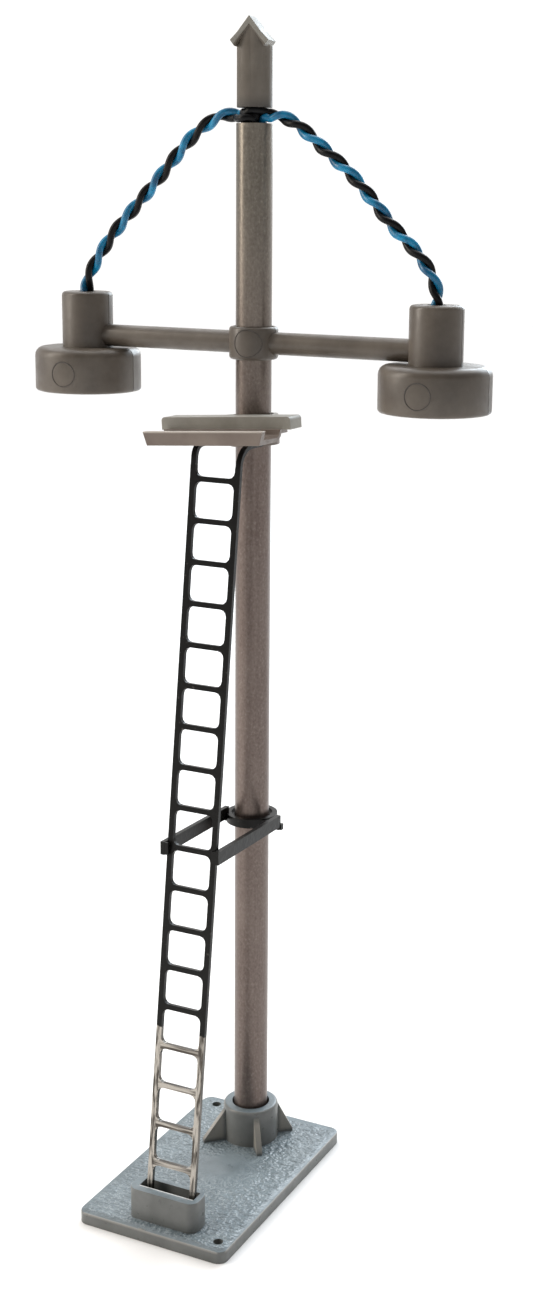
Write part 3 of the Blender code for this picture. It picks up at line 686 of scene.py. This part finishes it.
def make_wires(blue, black):
    """Four smooth strands in place of the plain CAD wires, each a cord into the mast."""
    for node, bends in MAST_BENDS.items():
        _, word, color = node.split("_")
        side = -1 if word == "left" else 1
        pin = side if color == "blue" else -side
        route = wire_points(side, pin, bends)
        name = f"strand_{word}_{color}"
        curve = bpy.data.curves.new(name, "CURVE")
        curve.dimensions = "3D"
        curve.bevel_depth = STRAND_RADIUS * MM
        curve.bevel_resolution = 4
        curve.use_fill_caps = True
        spline = curve.splines.new("POLY")
        spline.points.add(len(route) - 1)
        for target, place in zip(spline.points, route):
            target.co = (*place, 1.0)
        spline.use_smooth = True
        curve.materials.append(blue if color == "blue" else black)
        strand = bpy.data.objects.new(name, curve)
        bpy.context.scene.collection.objects.link(strand)
        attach(strand, "root")
        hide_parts(node)


# ---------------------------------------------------------------- stage

# The stage's sizes and places are metres.
FLOOR_HALF = 1.5
BRIGHT_SIDE = (-0.45, 0.75, 0.45)
BRIGHT_LEVEL = 1.1
DIM_LEVEL = 0.20
HORIZON_LEVEL = 0.8
OVERHEAD_FROM = (-0.15, 0.4, 0.9)
OVERHEAD_POWER = 2.5
OVERHEAD_SPREAD = math.radians(75)


def make_stage():
    """A plain pale floor."""
    bm = bmesh.new()
    bmesh.ops.create_grid(bm, x_segments=2, y_segments=2, size=FLOOR_HALF)
    mesh = bpy.data.meshes.new("floor")
    bm.to_mesh(mesh)
    bm.free()
    floor = bpy.data.objects.new("floor", mesh)
    bpy.context.scene.collection.objects.link(floor)
    shader = Shader("pale_floor", 0.9)
    shader.base(shader.mixed((0.86, 0.86, 0.86), (0.9, 0.9, 0.9), shader.noise(8.0)))
    mesh.materials.append(shader.material)


def make_area(name, place, target, size, power, color):
    """A rectangular light that faces its target."""
    data = bpy.data.lights.new(name, "AREA")
    data.shape = "RECTANGLE"
    data.size, data.size_y = size
    data.energy = power
    data.color = color
    lamp = bpy.data.objects.new(name, data)
    lamp.location = place
    lamp.rotation_euler = (Vector(target) - Vector(place)).to_track_quat("-Z", "Y").to_euler()
    bpy.context.scene.collection.objects.link(lamp)


def make_world():
    """A white studio, bright behind and to the left, dimmer overhead and dim on the camera's side.

    Near the horizon it is never darker than the horizon's level.
    """
    world = bpy.data.worlds.new("studio")
    world.use_nodes = True
    tree = world.node_tree

    def ranged(value, span, levels):
        """A node that spreads the value's span over the levels."""
        made = tree.nodes.new("ShaderNodeMapRange")
        made.inputs["From Min"].default_value, made.inputs["From Max"].default_value = span
        made.inputs["To Min"].default_value, made.inputs["To Max"].default_value = levels
        tree.links.new(value, made.inputs["Value"])
        return made

    def combined(operation, first, second):
        """Two outputs made into one."""
        made = tree.nodes.new("ShaderNodeMath")
        made.operation = operation
        tree.links.new(first, made.inputs[0])
        tree.links.new(second, made.inputs[1])
        return made.outputs[0]

    direction = tree.nodes.new("ShaderNodeTexCoord").outputs["Generated"]
    toward = tree.nodes.new("ShaderNodeVectorMath")
    toward.operation = "DOT_PRODUCT"
    toward.inputs[1].default_value = BRIGHT_SIDE
    tree.links.new(direction, toward.inputs[0])
    split = tree.nodes.new("ShaderNodeSeparateXYZ")
    tree.links.new(direction, split.inputs[0])
    rise = split.outputs[2]
    share = ranged(toward.outputs["Value"], (-0.5, 0.75), (DIM_LEVEL, BRIGHT_LEVEL))
    share.interpolation_type = "SMOOTHSTEP"
    overhead = ranged(rise, (0.25, 0.5), (1.0, 0.5))
    horizon = ranged(rise, (0.1, 0.3), (HORIZON_LEVEL, 0.0))
    strength = combined("MULTIPLY", share.outputs["Result"], overhead.outputs["Result"])
    strength = combined("MAXIMUM", strength, horizon.outputs["Result"])
    background = tree.nodes["Background"]
    background.inputs["Color"].default_value = (1.0, 0.985, 0.97, 1.0)
    tree.links.new(strength, background.inputs["Strength"])
    bpy.context.scene.world = world


def make_lights():
    """The studio, a broad overhead light, a warm window on the left and a cool one behind."""
    make_world()
    data = bpy.data.lights.new("overhead", "SUN")
    data.energy = OVERHEAD_POWER
    data.angle = OVERHEAD_SPREAD
    sun = bpy.data.objects.new("overhead", data)
    sun.rotation_euler = Vector(OVERHEAD_FROM).to_track_quat("Z", "Y").to_euler()
    bpy.context.scene.collection.objects.link(sun)
    make_area("window_left", (-0.3, -0.17, 0.24), (0.0, 0.0, 0.06), (0.1, 0.3), 1.0, (1.0, 0.92, 0.82))
    make_area("window_back", (0.02, 0.48, 0.26), (0.0, 0.0, 0.0), (0.3, 0.25), 1.7, (0.82, 0.92, 1.0))


def paint(node, material):
    """Gives a CAD node its finish."""
    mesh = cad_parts[node].data
    mesh.materials.clear()
    mesh.materials.append(material)


def main():
    """Camera, wires, stage and lights, then the finishes and the pieces that wear them."""
    bpy.context.scene.view_settings.view_transform = "Standard"
    make_camera()
    black_wire = insulation("black_insulation", (0.002, 0.002, 0.0025), (0.006, 0.006, 0.0065), 0.14)
    blue_wire = insulation("blue_insulation", (0.0, 0.065, 0.15), (0.003, 0.20, 0.38), 0.4)
    make_wires(blue_wire, black_wire)
    gap_plug(black_wire)
    make_stage()
    make_lights()
    lamp_grey = moulded_plastic("lamp_plastic", (0.075, 0.060, 0.047), (0.109, 0.090, 0.071), 0.4)
    cap_grey = cap_plastic()
    # The tray's rim colour is a painted highlight on the fascia's upper edge.
    tray_grey = moulded_plastic(
        "tray_plastic", (0.125, 0.095, 0.078), (0.17, 0.136, 0.113), 0.42, rim=(0.40, 0.36, 0.32)
    )
    # Painted light: the deck is a much lighter copy of the platform's plastic, lightening the front face
    # that the tray shades.
    deck_grey = moulded_plastic("deck_plastic", (0.215, 0.203, 0.176), (0.295, 0.278, 0.243), 0.42)
    # Painted shade: the ejector rings are a darker copy of the lamp plastic, standing in for the shade
    # round each raised ring.
    ring_painted_shade = moulded_plastic("ring_painted_shade", (0.05, 0.042, 0.036), (0.06, 0.05, 0.043), 0.5)
    base_grey = hammered_plastic()
    softened("base_moulding", base_grey, 0.07)
    gate_scar(base_grey)
    ejector_ring("ring_left", -LAMP_REACH, ring_painted_shade, **LAMP_RING)
    ejector_ring("ring_right", LAMP_REACH, ring_painted_shade, **LAMP_RING)
    ejector_ring("ring_hub", 0.0, ring_painted_shade, **HUB_RING)
    softened("mast_tube", drawn_tube())
    softened("finial_cap", cap_grey, 0.06)
    softened("lamp_arm_front", lamp_grey)
    softened("lamp_arm_rear", lamp_grey)
    softened("platform_tray", tray_grey, 0.08)
    softened("platform_deck", deck_grey, 0.08)
    softened("ladder", gloss_black("ladder_paint", 0.3, BARE_BELOW), 0.09)
    softened("ladder_bracket", gloss_black("bracket_paint", 0.3), 0.06)
    paint("led_left", clear_epoxy())
    paint("led_right", clear_epoxy())


main()
